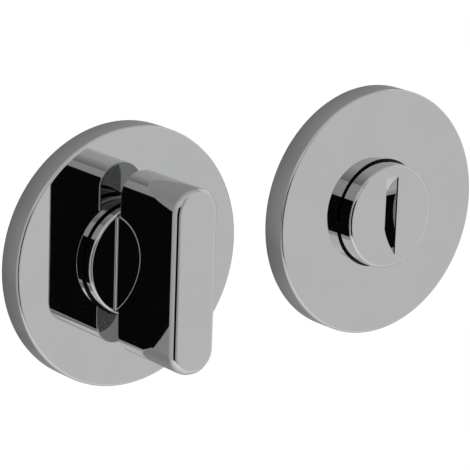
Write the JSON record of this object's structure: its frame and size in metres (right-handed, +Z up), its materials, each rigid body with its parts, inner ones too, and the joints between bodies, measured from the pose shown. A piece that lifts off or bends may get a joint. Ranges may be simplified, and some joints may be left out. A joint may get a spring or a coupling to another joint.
{
  "type": "bathroom thumb turn lock",
  "caption": "Round-rose bathroom thumb turn with its coin-slot emergency release, clip-on covers, bearing plates, retaining rings and square spindle.",
  "frame": {"origin": "where the turn's axis meets the door face, midway between the turn's fixing holes", "axes": "+Y into the door along both turning axes, +X from the turn to the release, +Z up along the upright blade"},
  "size_m": [0.116, 0.0567, 0.052],
  "materials": {
    "chrome": "polished chrome plate",
    "zinc_casting": "raw die-cast zinc",
    "black_nylon": "moulded nylon",
    "spring_steel": "phosphated spring steel",
    "plated_steel": "bright zinc plate"
  },
  "bodies": {
    "root": {"turn_cover_rose": "chrome", "turn_base_plate": "zinc_casting", "turn_bush": "black_nylon", "turn_snap_ring": "spring_steel", "turn_thrust_washer": "plated_steel", "release_cover_rose": "chrome", "release_base_plate": "zinc_casting", "release_bush": "black_nylon", "release_snap_ring": "spring_steel", "release_thrust_washer": "plated_steel", "release_pillar_upper": "plated_steel", "release_pillar_lower": "plated_steel"},
    "turn": {"turn_knob": "chrome", "spindle": "plated_steel", "spindle_grub_screw": "spring_steel", "turn_retaining_ring": "spring_steel", "turn_wave_washer": "spring_steel"},
    "release": {"release_plug": "chrome", "release_retaining_ring": "spring_steel", "release_wave_washer": "spring_steel"}
  },
  "joints": [
    {"name": "turn_hinge", "type": "hinge", "parent": "root", "child": "turn", "pos_m": [0, 0, 0], "axis": [0, 1, 0], "range_deg": [-90, 90]},
    {"name": "release_hinge", "type": "hinge", "parent": "root", "child": "release", "pos_m": [0.064, 0, 0], "axis": [0, 1, 0], "range_deg": [-90, 90]}
  ]
}
